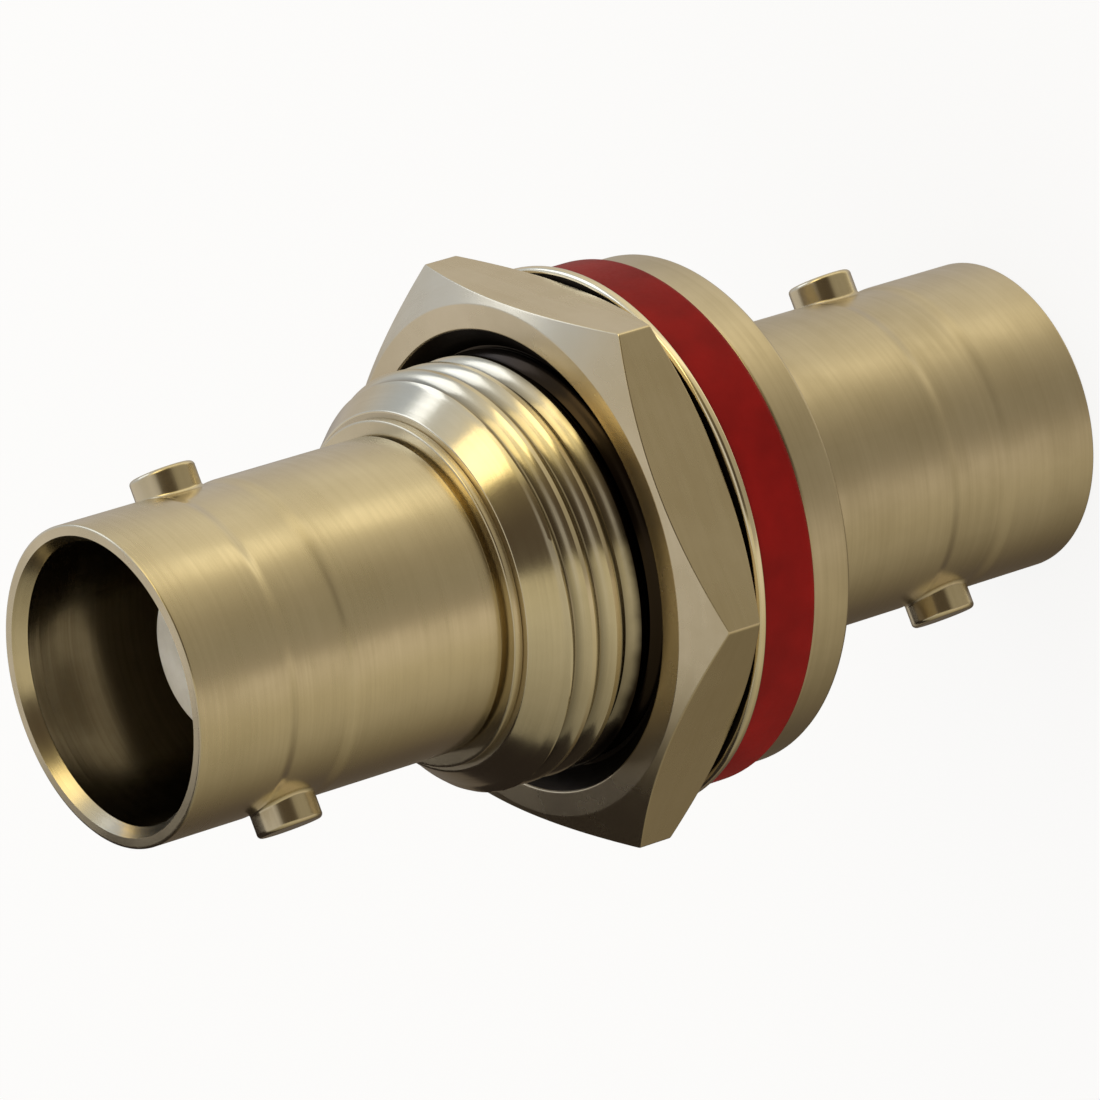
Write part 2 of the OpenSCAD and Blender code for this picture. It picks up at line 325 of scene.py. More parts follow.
def neck_radius(height, angle):
    """Radius of the threaded neck, with the run-out at the flange and the lead cone in front."""
    cone_z = NECK_END_Z - LEAD_CONE_LEN
    if height > cone_z:
        limit = LEAD_CONE_R + (NECK_FACE_R - LEAD_CONE_R) * (height - cone_z) / LEAD_CONE_LEN
    else:
        limit = min(NECK_R, LEAD_CONE_R + (cone_z - height) * (NECK_R - LEAD_CONE_R) / LEAD_STEP)
    cut = (height - FLANGE_FRONT_Z - THREAD_RUNOUT) / THREAD_RUNOUT
    runout = NECK_R - (NECK_R - THREAD_ROOT_R) * max(0.0, min(1.0, cut))
    return min(limit, max(runout, thread_radius(height, angle)))


thread_end_z = NECK_END_Z - LEAD_CONE_LEN * (THREAD_ROOT_R - NECK_FACE_R) / (LEAD_CONE_R - NECK_FACE_R)
flange_rows = rounded([
    (BARREL_R, FLANGE_BACK_Z - STRETCH, 0),
    (BARREL_R, FLANGE_BACK_Z, FLANGE_FOOT),
    (FLANGE_R, FLANGE_BACK_Z, FLANGE_EDGE),
    (FLANGE_R, FLANGE_FRONT_Z, FLANGE_EDGE),
    (NECK_R, FLANGE_FRONT_Z, NECK_FOOT),
    (NECK_R, FLANGE_FRONT_Z + STRETCH, 0),
], closed=False)
neck_rows = thread_rows(FLANGE_FRONT_Z + THREAD_RUNOUT, thread_end_z, neck_radius)
tail_hole_rows = rounded([
    (THREAD_ROOT_R, thread_end_z, 0),
    (NECK_FACE_R, NECK_END_Z, NECK_FACE_EDGE),
    (TAIL_HOLE_R, NECK_END_Z, INNER_EDGE),
    (TAIL_HOLE_R, NECK_END_Z - TAIL_HOLE_LEN, INNER_EDGE),
    (CHAMBER_R, NECK_END_Z - TAIL_HOLE_LEN, INNER_EDGE),
    (CHAMBER_R, rear_at(SOCKET_DEPTH + LIP_T), 0),
], closed=False)
body_rows = jack_outside(rear_at) + flange_rows + neck_rows + tail_hole_rows + jack_inside(rear_at)
body_turning = revolve("body_turning", body_rows, even_angles(COLUMNS))
rear_lugs = [lug("rear_lug", rear_at(LUG_SETBACK), side) for side in (-1, 1)]
body = join("turned_body", [body_turning] + rear_lugs)

# The nickel's turning marks, long around the axis and drawn about twice as coarse as a lathe
# leaves them, so that they show, then the plating bath's clouds and fine specks. The painted shade
# on the thread: how far its dark ring stands above the nut, how tall the ring is, how it fades,
# and how much of the shade stays in the thread's roots.
MARK_RUN = 8.333
MARK_W = 0.12
CLOUD = 2.6
SPECK = 0.16
SHADE_RING_ABOVE_NUT = 0.38
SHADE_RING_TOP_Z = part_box("hex_nut")[1].z / MM + SHADE_RING_ABOVE_NUT
SHADE_RING_HEIGHT = 1.5
SHADE_FADE_TOP = 0.35
SHADE_FADE_BACK = 0.5
ROOT_SHADE = 0.5
ROOT_SHADE_R = (THREAD_ROOT_R + 0.01, THREAD_ROOT_R + 0.15)
ROOT_SHADE_END_Z = NECK_END_Z - FIRST_ROOT_BACK + 0.3
PAINTED_SHADE_COLOUR = "2E261E"


def linear(colour):
    """Linear RGBA of an sRGB hex colour."""
    parts = [int(colour[i:i + 2], 16) / 255 for i in (0, 2, 4)]
    return [p / 12.92 if p <= 0.04045 else ((p + 0.055) / 1.055) ** 2.4 for p in parts] + [1.0]


def add(tree, kind, links=None, stops=None, **settings):
    """Adds a node. links gives each input a value or another node's output, and stops are the
    (place, colour) pairs of a ramp."""
    made = tree.nodes.new(kind)
    for name, value in settings.items():
        setattr(made, name, value)
    if stops:
        ramp = made.color_ramp.elements
        ramp[0].position, ramp[1].position = stops[0][0], stops[-1][0]
        ramp[0].color, ramp[1].color = linear(stops[0][1]), linear(stops[-1][1])
        for place, colour in stops[1:-1]:
            ramp.new(place).color = linear(colour)
    for socket, value in (links or {}).items():
        if isinstance(value, bpy.types.NodeSocket):
            tree.links.new(value, made.inputs[socket])
        else:
            made.inputs[socket].default_value = value
    return made


def new_material(name):
    """An empty material and its node tree."""
    material = bpy.data.materials.new(name)
    material.use_nodes = True
    material.node_tree.nodes.clear()
    return material, material.node_tree


def satin_nickel(name, light, dark, gloss, dull, mark_w=MARK_W, painted_shade=False):
    """Satin nickel plate on turned brass: a warm white metal with fine marks around the axis, a
    faint cloudiness from the plating bath and a roughness between gloss and dull. For the thread it
    can add painted shade: a dark ring where the nut ends, for the shade between nut and neck, and
    dark lines in the roots, for the shade in the grooves."""
    material, tree = new_material(name)
    place = add(tree, "ShaderNodeTexCoord").outputs["Object"]
    around = add(tree, "ShaderNodeMapping", {
        "Vector": place, "Scale": (1 / (MARK_RUN * MM), 1 / (MARK_RUN * MM), 1 / (mark_w * MM))})
    marks = add(tree, "ShaderNodeTexNoise", {
        "Vector": around.outputs[0], "Scale": 1.0, "Detail": 3.0, "Roughness": 0.65})
    clouds = add(tree, "ShaderNodeTexNoise", {
        "Vector": place, "Scale": 1 / (CLOUD * MM), "Detail": 4.0, "Roughness": 0.55})
    specks = add(tree, "ShaderNodeTexNoise", {
        "Vector": place, "Scale": 1 / (SPECK * MM), "Detail": 2.0, "Roughness": 0.5})
    mixed = add(tree, "ShaderNodeMix", {0: 0.35, 2: clouds.outputs[0], 3: marks.outputs[0]},
                data_type="FLOAT")
    tone = add(tree, "ShaderNodeValToRGB", {0: mixed.outputs[0]}, stops=[(0.36, dark), (0.62, light)])
    colour = tone.outputs[0]
    # Painted shade: a dark ring around the thread just above the nut and darker thread roots, standing
    # for the shade between nut and neck and in the grooves.
    if painted_shade:
        height = add(tree, "ShaderNodeSeparateXYZ", {0: place}).outputs[2]
        ragged = add(tree, "ShaderNodeMath", {
            0: clouds.outputs[0], 1: SHADE_FADE_TOP * MM, 2: height}, operation="MULTIPLY_ADD")
        above = add(tree, "ShaderNodeMapRange", {
            "Value": ragged.outputs[0], "From Min": SHADE_RING_TOP_Z * MM,
            "From Max": (SHADE_RING_TOP_Z + SHADE_FADE_TOP) * MM}, interpolation_type="SMOOTHSTEP")
        below = add(tree, "ShaderNodeMapRange", {
            "Value": ragged.outputs[0], "From Min": (SHADE_RING_TOP_Z - SHADE_RING_HEIGHT) * MM,
            "From Max": (SHADE_RING_TOP_Z - SHADE_RING_HEIGHT - SHADE_FADE_BACK) * MM},
            interpolation_type="SMOOTHSTEP")
        outside_ring = add(tree, "ShaderNodeMath", {
            0: above.outputs[0], 1: below.outputs[0]}, operation="MAXIMUM")
        across = add(tree, "ShaderNodeMapping", {"Vector": place, "Scale": (1, 1, 0)})
        radius = add(tree, "ShaderNodeVectorMath", {0: across.outputs[0]}, operation="LENGTH")
        crest = add(tree, "ShaderNodeMapRange", {
            "Value": radius.outputs[1], "From Min": ROOT_SHADE_R[0] * MM,
            "From Max": ROOT_SHADE_R[1] * MM, "To Min": 1 - ROOT_SHADE, "To Max": 1})
        cone = add(tree, "ShaderNodeMath", {
            0: height, 1: ROOT_SHADE_END_Z * MM}, operation="GREATER_THAN")
        roots_unshaded = add(tree, "ShaderNodeMath", {
            0: crest.outputs[0], 1: cone.outputs[0]}, operation="MAXIMUM")
        unshaded = add(tree, "ShaderNodeMath", {
            0: outside_ring.outputs[0], 1: roots_unshaded.outputs[0]}, operation="MULTIPLY")
        shaded_colour = add(tree, "ShaderNodeMix", {0: unshaded.outputs[0], 6: linear(PAINTED_SHADE_COLOUR), 7: colour},
                   data_type="RGBA")
        colour = shaded_colour.outputs[2]
    roughness = add(tree, "ShaderNodeMapRange", {
        "Value": mixed.outputs[0], "From Min": 0.35, "From Max": 0.65, "To Min": dull, "To Max": gloss})
    relief = add(tree, "ShaderNodeMix", {0: 0.3, 2: marks.outputs[0], 3: specks.outputs[0]},
                 data_type="FLOAT")
    bump = add(tree, "ShaderNodeBump", {
        "Strength": 0.1, "Distance": 0.02 * MM, "Height": relief.outputs[0]})
    shader = add(tree, "ShaderNodeBsdfPrincipled", {
        "Base Color": colour, "Metallic": 1.0, "Roughness": roughness.outputs[0],
        "Normal": bump.outputs[0]})
    add(tree, "ShaderNodeOutputMaterial", {"Surface": shader.outputs[0]})
    return material


def plate(piece, finishes, finish_at):
    """Gives a piece its finishes, where finish_at(reach, height) tells which one a face gets from
    its distance to the axis and its height."""
    for finish in finishes:
        piece.data.materials.append(finish)
    for face in piece.data.polygons:
        reach = math.hypot(face.center.x, face.center.y) / MM
        face.material_index = finishes.index(finish_at(reach, face.center.z / MM))


# The same plate in lighter and darker copies: the rear barrel is a little rougher and darker, the
# darkness painted shade; the thread is glossier and lighter, the lightness a painted highlight; and
# the bores are darker, painted shade in the recesses.
body_nickel = satin_nickel("satin_nickel_on_turned_brass", "D8CCB1", "CCC0A4", 0.18, 0.3)
rear_nickel_painted_shade = satin_nickel("satin_nickel_on_rear_barrel_painted_shade", "CEC2AA", "C0B49B", 0.28, 0.38)
thread_nickel_lit_and_shaded = satin_nickel("nickel_on_cut_thread_painted_highlight_and_shade", "DED3BA", "D2C7AC", 0.12, 0.22, painted_shade=True)
bore_nickel_painted_shade = satin_nickel("nickel_in_bore_painted_shade", "988C72", "867A62", 0.16, 0.26)


def body_finish(reach, height):
    """Finish of the main body: the neck, the bore of the rear jack, its lugs and the rest."""
    # The thread's lighter plate is a painted highlight; the bore's and rear barrel's darker plates are
    # painted shade.
    if height > FLANGE_FRONT_Z + STRETCH and reach > NECK_FACE_R - NECK_FACE_EDGE:
        return thread_nickel_lit_and_shaded
    if reach < MOUTH_R + PLAY and height > rear_at(LEAD_IN_DEPTH):
        return bore_nickel_painted_shade
    if reach > BARREL_R + PLAY and height < rear_at(LUG_SETBACK + 2 * LUG_R):
        return body_nickel
    return rear_nickel_painted_shade


plate(body, (rear_nickel_painted_shade, thread_nickel_lit_and_shaded, bore_nickel_painted_shade, body_nickel), body_finish)
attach(body, "adapter")
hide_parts("main_body")

# ---- Front jack ------------------------------------------------------------------------------
# A second turning with the front jack, a shoulder and a tail that is pressed into the neck.
# Same brass and same nickel plate, with a fine groove in front of the shoulder.

TAIL_R = 5.0
TAIL_LEN = 7.4
TAIL_EDGE = 0.08
SHOULDER_R = 5.25
SHOULDER_T = 0.3
SHOULDER_EDGE = 0.07
GROOVE_DEPTH = 0.2
GROOVE_W = 0.12
GROOVE_EDGE = 0.05
FRONT_MOUTH_Z = cad_box[1].z / MM


def front_at(depth):
    """Height of a depth in the front jack."""
    return FRONT_MOUTH_Z - depth


def jack_finish(reach, height):
    """Finish of the front jack: its bore, and the rest."""
    # The bore's darker plate is painted shade in the recess.
    if reach < MOUTH_R + PLAY and height < front_at(LEAD_IN_DEPTH):
        return bore_nickel_painted_shade
    return body_nickel


shoulder_z = NECK_END_Z + SHOULDER_T
tail_rows = rounded([
    (BARREL_R, shoulder_z + GROOVE_W + STRETCH, 0),
    (BARREL_R, shoulder_z + GROOVE_W, GROOVE_EDGE),
    (BARREL_R - GROOVE_DEPTH, shoulder_z + GROOVE_W, 0),
    (BARREL_R - GROOVE_DEPTH, shoulder_z, 0),
    (SHOULDER_R, shoulder_z, SHOULDER_EDGE),
    (SHOULDER_R, NECK_END_Z, GROOVE_EDGE),
    (TAIL_R, NECK_END_Z, 0),
    (TAIL_R, NECK_END_Z - TAIL_LEN, TAIL_EDGE),
    (CHAMBER_R, NECK_END_Z - TAIL_LEN, INNER_EDGE),
    (CHAMBER_R, front_at(SOCKET_DEPTH + LIP_T), 0),
], closed=False)
jack_rows = jack_outside(front_at) + tail_rows + jack_inside(front_at)
jack_turning = revolve("jack_turning", jack_rows, even_angles(COLUMNS))
front_lugs = [lug("front_lug", front_at(LUG_SETBACK), side) for side in (-1, 1)]
jack = join("front_jack", [jack_turning] + front_lugs)
plate(jack, (body_nickel, bore_nickel_painted_shade), jack_finish)
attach(jack, "adapter")
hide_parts("front_shell")

# ---- Insulators ------------------------------------------------------------------------------
# Two turned PTFE insulators, waxy and slightly see-through, that the lips of the two jacks hold.
# Faint tool rings show on their ends. The front one's nose stands a little further out.

NOSE_R = 2.375
NOSE_DEPTH = 3.6
NOSE_EDGE = 0.14
NOSE_HOLE_R = 1.07
HOLE_EDGE = 0.1
WAIST_R = 2.095
WAIST_LEN = 1.2
WAIST_STEP = 0.28
COLLAR_R = 2.85
COLLAR_EDGE = 0.1
POCKET_R = 1.65
POCKET_LEN = 0.6
INSULATOR_EDGE = 0.05
INSULATOR_COLUMNS = 144
HAZE = 0.9

# Tool rings on the ends, twice as coarse as real ones so that they show
TOOL_RING = 0.14

insulator_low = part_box("front_insulator")[0].z / MM
insulator_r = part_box("front_insulator")[1].x / MM


def waxy_white(name):
    """Turned PTFE: a milky white with soft light inside and faint tool rings."""
    material, tree = new_material(name)
    place = add(tree, "ShaderNodeTexCoord").outputs["Object"]
    across = add(tree, "ShaderNodeMapping", {"Vector": place, "Scale": (1, 1, 0)})
    radius = add(tree, "ShaderNodeVectorMath", {0: across.outputs[0]}, operation="LENGTH")
    ring = add(tree, "ShaderNodeMath", {
        0: radius.outputs[1], 1: TURN / (TOOL_RING * MM)}, operation="MULTIPLY")
    wave = add(tree, "ShaderNodeMath", {0: ring.outputs[0]}, operation="SINE")
    haze = add(tree, "ShaderNodeTexNoise", {"Vector": place, "Scale": 1 / (HAZE * MM), "Detail": 3.0})
    tone = add(tree, "ShaderNodeValToRGB", {0: haze.outputs[0]},
               stops=[(0.35, "DCD8CC"), (0.65, "ECE9E0")])
    height = add(tree, "ShaderNodeMath", {0: wave.outputs[0], 1: haze.outputs[0]}, operation="ADD")
    bump = add(tree, "ShaderNodeBump", {
        "Strength": 0.12, "Distance": 0.01 * MM, "Height": height.outputs[0]})
    shader = add(tree, "ShaderNodeBsdfPrincipled", {
        "Base Color": tone.outputs[0], "Roughness": 0.42, "IOR": 1.38, "Normal": bump.outputs[0],
        "Subsurface Weight": 0.3, "Subsurface Radius": (0.6 * MM, 0.6 * MM, 0.5 * MM)})
    add(tree, "ShaderNodeOutputMaterial", {"Surface": shader.outputs[0]})
    return material


def dress(node, material):
    """Gives a CAD node its material in every slot."""
    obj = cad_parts[node]
    obj.data.materials.clear()
    obj.data.materials.append(material)


ptfe = waxy_white("turned_ptfe")
insulator_rows = rounded([
    (NOSE_HOLE_R, front_at(NOSE_DEPTH), HOLE_EDGE),
    (NOSE_R, front_at(NOSE_DEPTH), NOSE_EDGE),
    (NOSE_R, front_at(SOCKET_DEPTH - WAIST_LEN), INSULATOR_EDGE),
    (WAIST_R, front_at(SOCKET_DEPTH - WAIST_LEN + WAIST_STEP), INSULATOR_EDGE),
    (WAIST_R, front_at(SOCKET_DEPTH), 0),
    (COLLAR_R, front_at(SOCKET_DEPTH), INSULATOR_EDGE),
    (COLLAR_R, front_at(SOCKET_DEPTH + LIP_T), 0),
    (insulator_r, front_at(SOCKET_DEPTH + LIP_T), COLLAR_EDGE),
    (insulator_r, insulator_low, INSULATOR_EDGE),
    (POCKET_R, insulator_low, 0),
    (POCKET_R, insulator_low + POCKET_LEN, 0),
    (NOSE_HOLE_R, insulator_low + POCKET_LEN, 0),
])
nose_piece = revolve("turned_insulator", insulator_rows, even_angles(INSULATOR_COLUMNS))
nose_piece.data.materials.append(ptfe)
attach(nose_piece, "adapter")
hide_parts("front_insulator")
dress("rear_insulator", ptfe)

# ---- Contact ---------------------------------------------------------------------------------
# One copper-alloy contact with four spring fingers at each end, plated with soft yellow gold.
# The insulators hold it in the middle of both sockets.

GOLD_MARK_RUN = 6.667
GOLD_MARK_W = 0.08


def gold_plate(name):
    """Gold plate on a turned contact: deep yellow, fairly bright, with faint tool marks."""
    material, tree = new_material(name)
    place = add(tree, "ShaderNodeTexCoord").outputs["Object"]
    around = add(tree, "ShaderNodeMapping", {"Vector": place, "Scale": (
        1 / (GOLD_MARK_RUN * MM), 1 / (GOLD_MARK_RUN * MM), 1 / (GOLD_MARK_W * MM))})
    marks = add(tree, "ShaderNodeTexNoise", {"Vector": around.outputs[0], "Scale": 1.0, "Detail": 2.0})
    tone = add(tree, "ShaderNodeValToRGB", {0: marks.outputs[0]},
               stops=[(0.35, "D9A441"), (0.65, "EBC069")])
    roughness = add(tree, "ShaderNodeMapRange", {
        "Value": marks.outputs[0], "To Min": 0.28, "To Max": 0.18})
    bump = add(tree, "ShaderNodeBump", {
        "Strength": 0.1, "Distance": 0.01 * MM, "Height": marks.outputs[0]})
    shader = add(tree, "ShaderNodeBsdfPrincipled", {
        "Base Color": tone.outputs[0], "Metallic": 1.0, "Roughness": roughness.outputs[0],
        "Normal": bump.outputs[0]})
    add(tree, "ShaderNodeOutputMaterial", {"Surface": shader.outputs[0]})
    return material


dress("centre_contact", gold_plate("gold_on_copper_alloy"))

# ---- Gasket ----------------------------------------------------------------------------------
# A soft flat ring of red silicone rubber, moulded, that lies on the flange and seals the panel.
# Its edges are well rounded.

GASKET_INNER_R = 6.45
GASKET_OUTER_R = 8.05
GASKET_INNER_EDGE = 0.08
GASKET_EDGE = 0.22

# The rubber's cloudiness, and its grain, coarser than real so that it shows
RUBBER_CLOUD = 1.8
RUBBER_GRAIN = 0.12

gasket_low, gasket_high = (corner.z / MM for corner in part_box("gasket"))


def silicone(name):
    """Moulded silicone rubber: dark red, even, with a dull sheen and a fine grain."""
    material, tree = new_material(name)
    place = add(tree, "ShaderNodeTexCoord").outputs["Object"]
    clouds = add(tree, "ShaderNodeTexNoise", {
        "Vector": place, "Scale": 1 / (RUBBER_CLOUD * MM), "Detail": 3.0, "Roughness": 0.5})
    grain = add(tree, "ShaderNodeTexNoise", {
        "Vector": place, "Scale": 1 / (RUBBER_GRAIN * MM), "Detail": 2.0, "Roughness": 0.6})
    tone = add(tree, "ShaderNodeValToRGB", {0: clouds.outputs[0]},
               stops=[(0.3, "740503"), (0.7, "8A0A06")])
    roughness = add(tree, "ShaderNodeMapRange", {
        "Value": grain.outputs[0], "To Min": 0.4, "To Max": 0.56})
    bump = add(tree, "ShaderNodeBump", {
        "Strength": 0.2, "Distance": 0.01 * MM, "Height": grain.outputs[0]})
    shader = add(tree, "ShaderNodeBsdfPrincipled", {
        "Base Color": tone.outputs[0], "Roughness": roughness.outputs[0], "IOR": 1.41,
        "Specular IOR Level": 0.15, "Normal": bump.outputs[0]})
    add(tree, "ShaderNodeOutputMaterial", {"Surface": shader.outputs[0]})
    return material


gasket_rows = rounded([
    (GASKET_INNER_R, gasket_low, GASKET_INNER_EDGE),
    (GASKET_OUTER_R, gasket_low, GASKET_EDGE),
    (GASKET_OUTER_R, gasket_high, GASKET_EDGE),
    (GASKET_INNER_R, gasket_high, GASKET_INNER_EDGE),
])
gasket = revolve("silicone_gasket", gasket_rows, even_angles(COLUMNS))
gasket.data.materials.append(silicone("red_silicone_rubber"))
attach(gasket, "adapter")
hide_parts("gasket")

# ---- Washer ----------------------------------------------------------------------------------
# A thin brass washer, punched and tumbled, with bright nickel plate. Its faces are darkened as
# painted shade between nut and gasket, and its rim is lightened as a painted highlight.

WASHER_INNER_R = 6.65
WASHER_OUTER_R = 8.3
WASHER_INNER_EDGE = 0.04
WASHER_BACK_EDGE = 0.09
WASHER_FRONT_EDGE = 0.24
WASHER_RIM_W = 0.2

# Marks of the tumbling, coarser than real so that they show on the thin rim
WASHER_MARK_W = 0.4

washer_low, washer_high = (corner.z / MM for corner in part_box("washer"))
washer_rows = rounded([
    (WASHER_INNER_R, washer_low, WASHER_INNER_EDGE),
    (WASHER_OUTER_R, washer_low, WASHER_BACK_EDGE),
    (WASHER_OUTER_R, washer_high, WASHER_FRONT_EDGE),
    (WASHER_INNER_R, washer_high, WASHER_INNER_EDGE),
])
washer = revolve("flat_washer", washer_rows, even_angles(COLUMNS))
rim_nickel_painted_highlight = satin_nickel(
    "nickel_on_washer_rim_painted_highlight", "F0E6CC", "E4D8BA", 0.1, 0.18, mark_w=WASHER_MARK_W)
washer_face_painted_shade = satin_nickel("nickel_on_washer_face_painted_shade", "2E2822", "221D18", 0.45, 0.6)


def washer_finish(reach, height):
    """Finish of the washer: its faces in painted shade, and its rim in painted highlight."""
    return washer_face_painted_shade if reach < WASHER_OUTER_R - WASHER_RIM_W else rim_nickel_painted_highlight


plate(washer, (rim_nickel_painted_highlight, washer_face_painted_shade), washer_finish)
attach(washer, "washer")
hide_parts("washer")

# ---- Nut -------------------------------------------------------------------------------------
# A thin panel nut machined from hexagon brass bar: corners turned off at a low angle on both
# faces, a wide countersink in front and an internal thread. Satin nickel plate, darkened as
# painted shade in the thread, in the countersink and on the back face.

NUT_BORE_R = 6.4
NUT_MINOR_R = 5.98
NUT_FLAT_R = 8.0
NUT_FACE_R = 7.8
NUT_FACE_EDGE = 0.1
NUT_BEVEL = math.radians(27)
NUT_BEVEL_EDGE = 0.06
NUT_CORNER_EDGE = 0.12
NUT_SINK = 0.65
NUT_SINK_EDGE = 0.06
NUT_BACK_BEVEL = 0.25
NUT_BACK_EDGE = 0.04
NUT_CLEARANCE = 0.05
FACE_ROW_R = NUT_FACE_R - 0.4
FACE_INNER_ROW_R = NUT_FACE_R - 0.5
SIDE_ANGLE = math.radians(60)
HALF_SIDE = SIDE_ANGLE / 2
CORNER_OFFSETS = (0.1, 0.2, 0.33, 0.5, 0.8, 1.2)
SIDE_START = math.radians(2)
SIDE_STEPS = 40

# Marks of the drawn bar, coarser than real so that they show
NUT_MARK_W = 0.3

nut_low, nut_high = (corner.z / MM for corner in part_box("hex_nut"))


def hexagon_radius(angle):
    """Distance from the axis to the hexagon's outline, whose corners are slightly rounded."""
    off = (angle + HALF_SIDE) % SIDE_ANGLE - HALF_SIDE
    centre = (NUT_FLAT_R - NUT_CORNER_EDGE) / math.cos(HALF_SIDE)
    limit = math.atan2(NUT_CORNER_EDGE / 2, centre + NUT_CORNER_EDGE * math.cos(HALF_SIDE))
    if abs(off) < limit:
        return (centre * math.cos(off)
                + math.sqrt(NUT_CORNER_EDGE ** 2 - (centre * math.sin(off)) ** 2))
    return NUT_FLAT_R / math.cos(HALF_SIDE - abs(off))


def nut_angles():
    """Column angles that crowd at the six corners."""
    after = [math.radians(offset) for offset in CORNER_OFFSETS]
    around = [-offset for offset in reversed(after)] + [0.0] + after
    along = [SIDE_START + (SIDE_ANGLE - 2 * SIDE_START) * i / SIDE_STEPS for i in range(SIDE_STEPS + 1)]
    angles = []
    for corner in range(6):
        base = corner * SIDE_ANGLE
        angles += [base + offset for offset in around if offset >= 0 or corner > 0]
        angles += [base + offset for offset in along]
    return angles + [TURN + offset for offset in around if offset <= 0]


def nut_thread_radius(height, angle):
    """Internal thread that stays a running clearance outside the neck's thread."""
    return min(NUT_BORE_R, max(NUT_MINOR_R, thread_radius(height, angle) + NUT_CLEARANCE))


def nut_outside(angle):
    """Outline of the nut's outside at an angle, from its front face over the bevel, the side and
    the back bevel to its back face."""
    r = hexagon_radius(angle)
    drop = (r - NUT_FACE_R) * math.tan(NUT_BEVEL)
    return rounded([
        (FACE_ROW_R, nut_high, 0),
        (NUT_FACE_R, nut_high, NUT_FACE_EDGE),
        (r, nut_high - drop, NUT_BEVEL_EDGE),
        (r, nut_low + drop, NUT_BEVEL_EDGE),
        (NUT_FACE_R, nut_low, NUT_FACE_EDGE),
        (FACE_ROW_R, nut_low, 0),
    ], closed=False)


nut_rows = [lambda angle, index=index: nut_outside(angle)[index]
            for index in range(len(nut_outside(0.0)))]
nut_rows += rounded([
    (FACE_INNER_ROW_R, nut_low, 0),
    (NUT_BORE_R + NUT_BACK_BEVEL, nut_low, NUT_BACK_EDGE),
    (NUT_BORE_R, nut_low + NUT_BACK_BEVEL, 0),
], closed=False)
nut_rows += thread_rows(nut_low + NUT_BACK_BEVEL, nut_high - NUT_SINK, nut_thread_radius)
nut_rows += rounded([
    (NUT_BORE_R, nut_high - NUT_SINK, 0),
    (NUT_BORE_R + NUT_SINK, nut_high, NUT_SINK_EDGE),
    (FACE_INNER_ROW_R, nut_high, 0),
], closed=False)
nut = revolve("panel_nut", nut_rows, nut_angles())
hexagon_nickel = satin_nickel(
    "satin_nickel_on_hexagon_brass", "DACDB2", "CEC0A3", 0.22, 0.32, mark_w=NUT_MARK_W)
nut_nickel_painted_shade = satin_nickel("nickel_in_nut_thread_painted_shade", "4A4034", "362E25", 0.35, 0.5)


def nut_finish(reach, height):
    """Finish of the nut: painted shade on its thread, countersink and back face, and the rest."""
    if reach < NUT_BORE_R + NUT_SINK - NUT_SINK_EDGE or height < nut_low + PLAY:
        return nut_nickel_painted_shade
    return hexagon_nickel


plate(nut, (hexagon_nickel, nut_nickel_painted_shade), nut_finish)
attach(nut, "nut")
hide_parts("hex_nut")

# ---- Stage -----------------------------------------------------------------------------------
# A white paper floor; a tent whose tones by bearing and height are painted reflections, and a dark
# backdrop that is painted shade, both of which only reflections see; two soft lamps and an even
# room light. Bearings are in degrees around the axis, from the camera's.

CAMERA_BEARING = math.radians(-95.607)
TENT_R = 0.6
TENT_SEGMENTS = 48
WALL_BLEND = 0.15
ROOF_BLEND = (0.76, 0.9)
WINDOW_GAIN = 0.4
ROOM_LIGHT = 0.86


def bearings(stops):
    """Ramp places of (degrees, colour) pairs."""
    return [((degrees + 180) / 360, colour) for degrees, colour in stops]


# The tent's tones, set by bearing and height, and its brighter window strip are painted reflections:
# they light nothing and show only in the metal.
tent_mesh = bpy.data.meshes.new("painted_reflection_tent")
shape = bmesh.new()
bmesh.ops.create_uvsphere(
    shape, u_segments=TENT_SEGMENTS, v_segments=TENT_SEGMENTS // 2, radius=TENT_R)
shape.to_mesh(tent_mesh)
shape.free()
tent = placed("painted_reflection_tent", tent_mesh)
tent_material, tree = new_material("painted_reflection_panels")
place = add(tree, "ShaderNodeTexCoord").outputs["Object"]
turned_place = add(tree, "ShaderNodeVectorRotate", {"Vector": place, "Angle": -CAMERA_BEARING},
                   rotation_type="Z_AXIS")
apart = add(tree, "ShaderNodeSeparateXYZ", {0: turned_place.outputs[0]})
bearing = add(tree, "ShaderNodeMath", {0: apart.outputs[1], 1: apart.outputs[0]}, operation="ARCTAN2")
share = add(tree, "ShaderNodeMapRange", {
    "Value": bearing.outputs[0], "From Min": -math.pi, "From Max": math.pi})
low_walls = add(tree, "ShaderNodeValToRGB", {0: share.outputs[0]}, stops=bearings([
    (-180, "70685F"), (-150, "5C5349"), (-132, "5C5247"), (-112, "7C715B"), (-98, "958B72"),
    (-78, "B0A68B"), (-52, "C6BB9D"), (-32, "DCD0B8"), (-25, "D8CCB4"), (-19, "A89E8A"),
    (0, "A29A85"), (22, "A89E86"), (44, "CDC2A4"), (54, "EDE0BC"), (72, "F4EACA"),
    (80, "EEE4C8"), (104, "E8E0CA"), (130, "CFC8BC"), (160, "C0BAB4"), (180, "8A8480")]))
high_walls = add(tree, "ShaderNodeValToRGB", {0: share.outputs[0]}, stops=bearings([
    (-180, "D8D2CA"), (-140, "A09A8C"), (-112, "86806E"), (-80, "A69E86"), (-50, "C2BAA0"),
    (-14, "D2C8A8"), (-8, "52483A"), (22, "54493A"), (44, "766A50"), (56, "E8D8A0"),
    (72, "DCD2B4"), (88, "DCDAD2"), (120, "B8C4D8"), (150, "D0D8E8"), (180, "D8D2CA")]))
